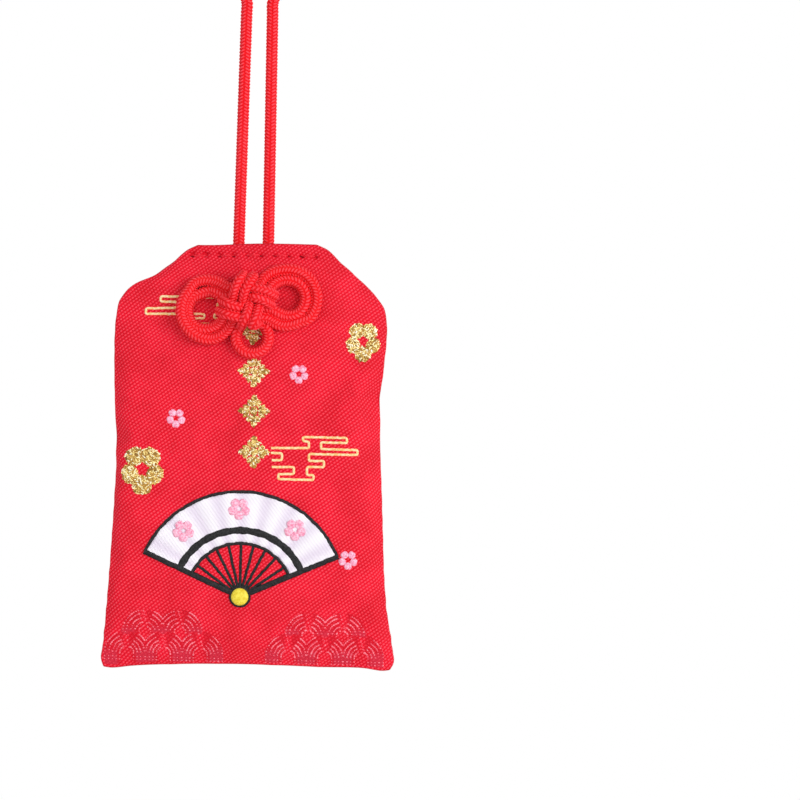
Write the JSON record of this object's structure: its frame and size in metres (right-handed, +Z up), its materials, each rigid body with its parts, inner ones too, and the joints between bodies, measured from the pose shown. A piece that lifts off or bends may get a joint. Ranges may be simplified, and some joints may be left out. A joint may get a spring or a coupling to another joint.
{
  "type": "omamori charm",
  "caption": "Hanging cloth charm: a sewn red brocade pouch with a stiffened filling, an ornamental knot of doubled braided cord on its front and a cord loop to hang it by.",
  "frame": {"origin": "hanging point, on the underside of the top bend of the cord loop", "axes": "+Z up along the cord as the charm hangs, -Y out of the front face with the knot, +X to the viewer's right"},
  "size_m": [0.0498, 0.0165, 0.1245],
  "materials": {
    "brocade": "satin",
    "cord": "matte",
    "thread": "matte",
    "wadding": "matte",
    "paper": "matte",
    "slip_wood": "matte"
  },
  "bodies": {
    "loop": {"hanging_loop": "cord"},
    "neck": {"neck_strand_left": "cord", "neck_strand_right": "cord"},
    "pouch": {"front_panel": "brocade", "back_panel": "brocade", "front_pad": "wadding", "back_pad": "wadding", "paper_sleeve": "paper", "talisman_slip": "slip_wood", "mouth_stitch": "thread", "left_seam_thread": "thread", "right_seam_thread": "thread", "ornament_knot": "cord"}
  },
  "joints": [
    {"name": "neck_fold", "type": "hinge", "parent": "loop", "child": "neck", "pos_m": [0, 0, -0.047], "axis": [1, 0, 0], "range_deg": [-100, 100]},
    {"name": "side_lean", "type": "hinge", "parent": "neck", "child": "pouch", "pos_m": [-0.00175, 0, -0.0552], "axis": [0, 1, 0], "range_deg": [-15, 15]}
  ]
}
